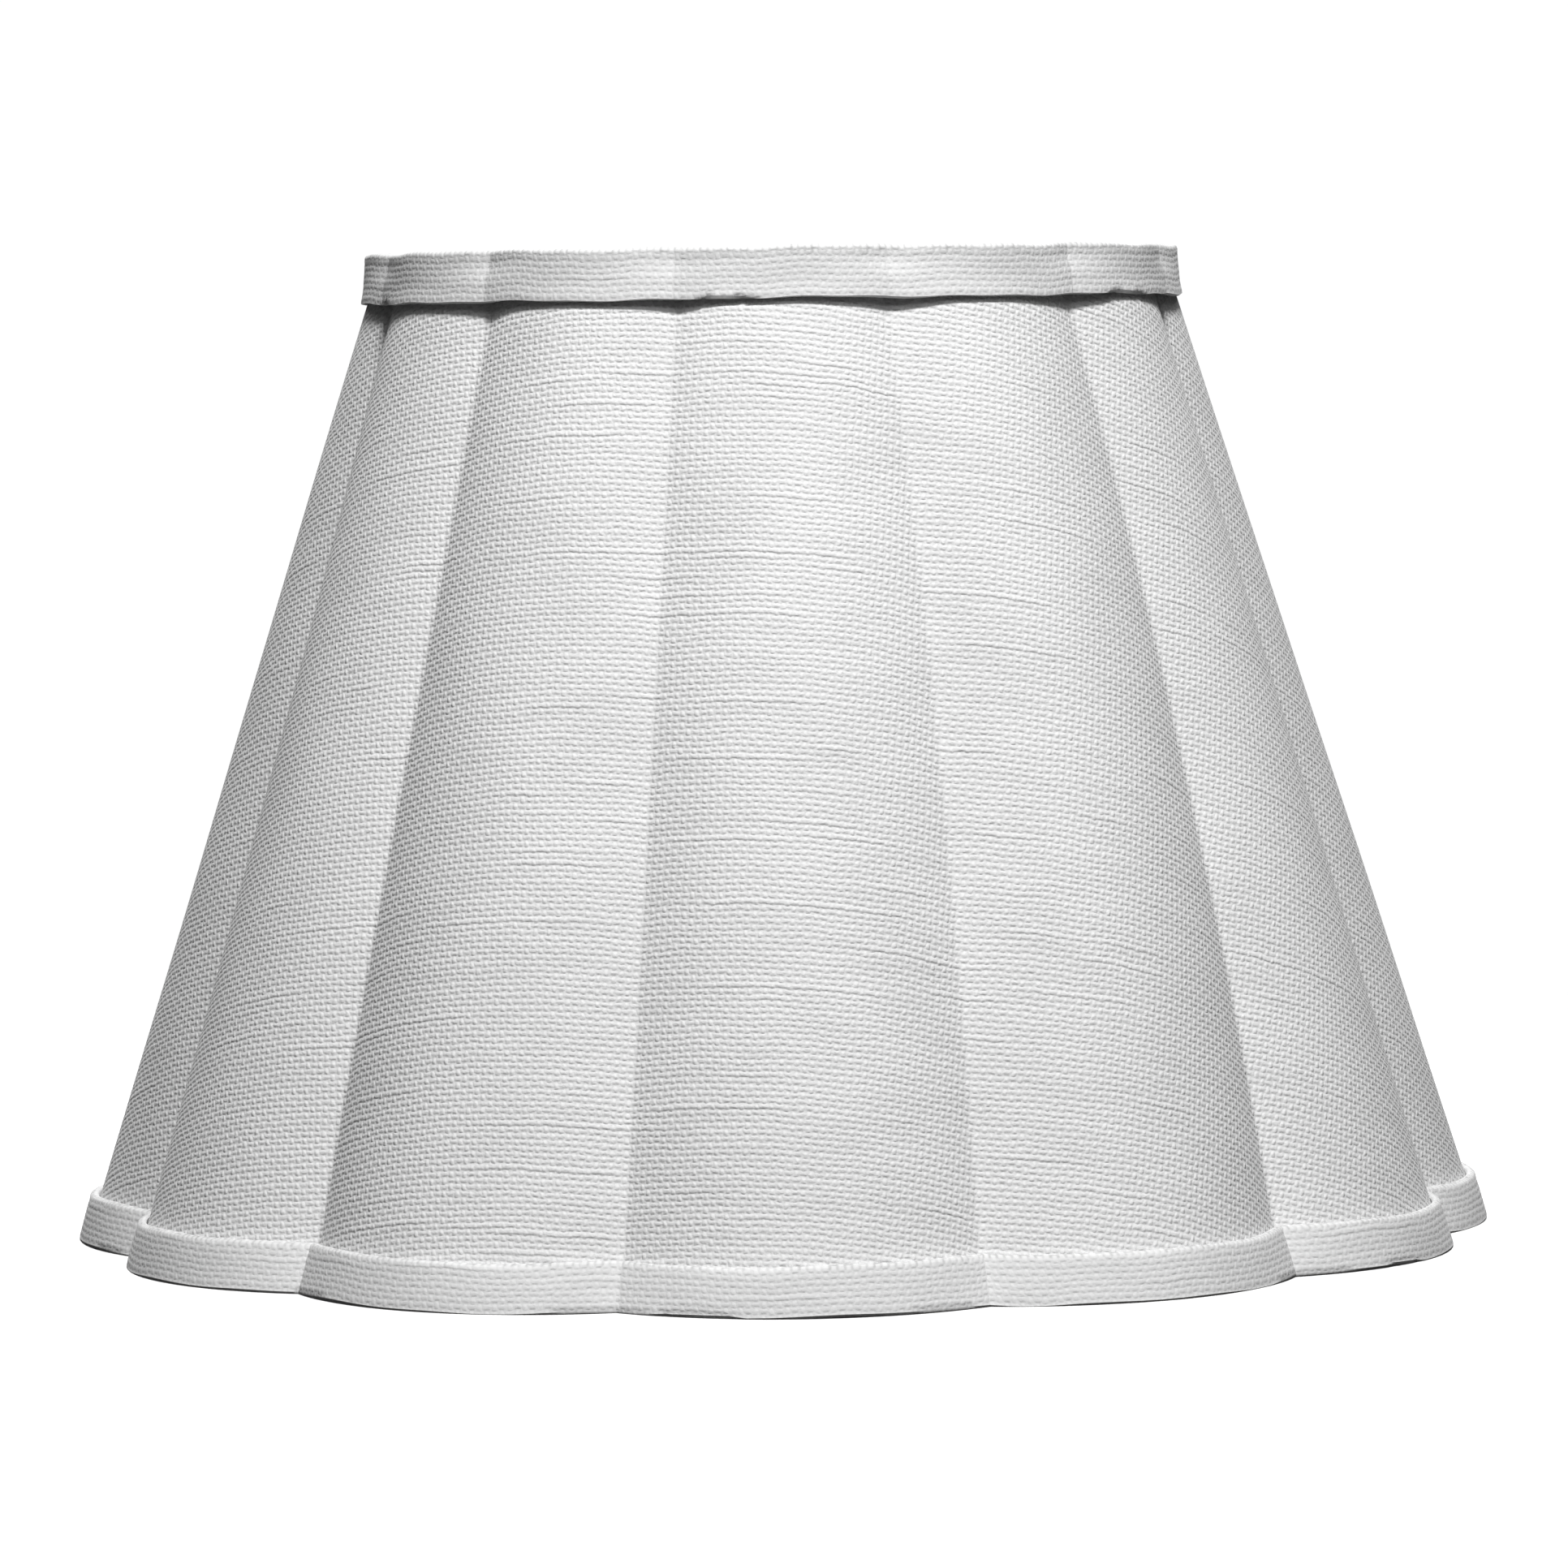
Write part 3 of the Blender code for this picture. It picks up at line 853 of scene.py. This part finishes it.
# %% Make the beads
bead_filler, tree, shader = new_material("brazed joint, zinc-plated", 0.4, Metallic=1.0)
place = add(tree, "TexCoord", out=3)
crust = add(tree, "TexNoise", {"Vector": place, "Scale": 900.0, "Detail": 4.0})
metal = blend(tree, crust, linear("#a9aaa8"), linear("#74736f"))
tree.links.new(metal, shader.inputs["Base Color"])
bump = add(tree, "Bump", {"Height": crust, "Strength": 0.5, "Distance": 0.1 * MM})
tree.links.new(bump, shader.inputs["Normal"])
BEAD_LENGTH = 2.4 * MM                  # from its middle to its tip
BEAD_WIDTH = 0.85 * wire
BEAD_HEIGHT = 0.72 * wire
BEAD_REACH = top_ring_valley - wire / 2 - 0.6 * MM
for number in range(1, ARMS + 1):
    turn = arm_turn(number)
    bpy.ops.object.select_all(action="DESELECT")
    bpy.ops.mesh.primitive_uv_sphere_add(segments=24, ring_count=12, radius=1.0, location=(0, 0, 0))
    bead = bpy.context.object
    bead.name = f"braze_bead_{number}"
    for corner in bead.data.vertices:
        x, y, z = corner.co
        pinch = 1 - 0.25 * abs(x)
        along = BEAD_REACH + x * BEAD_LENGTH
        across = y * BEAD_WIDTH * pinch
        corner.co = (along * math.cos(turn) - across * math.sin(turn),
                     along * math.sin(turn) + across * math.cos(turn),
                     top_ring_z + z * BEAD_HEIGHT * pinch)
    bpy.ops.object.shade_smooth()
    bead.data.materials.append(bead_filler)
    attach(bead, "root")
print(ARMS, "beads", round(2 * BEAD_LENGTH / MM, 1), "mm long")

# %% [markdown]
# ## Floor and light
# The shade stands on white paper that fades out into a white surround. One rather small soft light
# high in front gives the dark arches under the top strip, a weak broad one lower down softens them,
# and a third behind lights the far side. The surround is bright to the eye but adds only a little
# light, and the paper throws none back up, so the flanks of the lobes turn grey.

# %% Make the paper floor
FLOOR_RADIUS = 1.0
FADE_START = 0.28
FADE_END = 0.6
paper, tree, shader = new_material("white paper", 0.85, Specular_IOR_Level=0.2)
place = add(tree, "TexCoord", out=3)
fibre = add(tree, "TexNoise", {"Vector": place, "Scale": 300.0, "Detail": 3.0})
sheet = blend(tree, fibre, linear("#f8f8f8"), linear("#f3f3f3"))
tree.links.new(sheet, shader.inputs["Base Color"])
away = add(tree, "VectorMath", {0: place}, out=1, operation="LENGTH")
fade = add(tree, "MapRange", {"Value": away, "From Min": FADE_START, "From Max": FADE_END},
           interpolation_type="SMOOTHSTEP")
clear = add(tree, "BsdfTransparent")
seen = add(tree, "MixShader", {0: fade, 1: shader.outputs[0], 2: clear})
tree.links.new(seen, tree.nodes["Material Output"].inputs[0])
bpy.ops.object.select_all(action="DESELECT")
bpy.ops.mesh.primitive_circle_add(vertices=96, radius=FLOOR_RADIUS, fill_type="NGON",
                                  location=(0, 0, 0))
floor = bpy.context.object
floor.name = "paper_floor"
bpy.ops.object.mode_set(mode="EDIT")
bpy.ops.mesh.inset(thickness=FLOOR_RADIUS / 2)
bpy.ops.object.mode_set(mode="OBJECT")
floor.data.materials.append(paper)
floor.visible_diffuse = False           # the paper throws no light back on the shade

# %% Add the lights
SHADE_MIDDLE = Vector((0, 0, 0.11))
LIGHT_DISTANCE = 1.6
SURROUND_LIGHT = 0.035                  # strength of the surround as a light
SURROUND_SEEN = 1.02                    # and as it is seen behind the shade


def soft_box(name, turn, rise, size, power):
    """A light facing the shade, so many degrees round and above it, in metres and watts."""
    level, lift = math.radians(turn), math.radians(rise)
    away = Vector((math.cos(lift) * math.sin(level), -math.cos(lift) * math.cos(level),
                   math.sin(lift)))
    place = SHADE_MIDDLE + LIGHT_DISTANCE * away
    bpy.ops.object.light_add(type="AREA", location=place)
    made = bpy.context.object
    made.name = name
    made.data.shape = "RECTANGLE"
    made.data.size, made.data.size_y = size
    made.data.energy = power
    made.rotation_euler = (SHADE_MIDDLE - place).to_track_quat("-Z", "Y").to_euler()


soft_box("high_light", 5, 58, (0.35, 0.14), 31)
soft_box("broad_light", 6, 45, (1.0, 0.5), 5)
soft_box("back_light", 180, 30, (1.6, 0.5), 21)
world = bpy.data.worlds.new("surround")
bpy.context.scene.world = world
world.use_nodes = True
world.node_tree.nodes["Background"].inputs["Color"].default_value = (1, 1, 1, 1)
looked_at = add(world.node_tree, "LightPath")
strength = add(world.node_tree, "MapRange", {"Value": looked_at, "To Min": SURROUND_LIGHT,
                                             "To Max": SURROUND_SEEN})
world.node_tree.links.new(strength, world.node_tree.nodes["Background"].inputs["Strength"])
bpy.context.scene.view_settings.view_transform = "Standard"
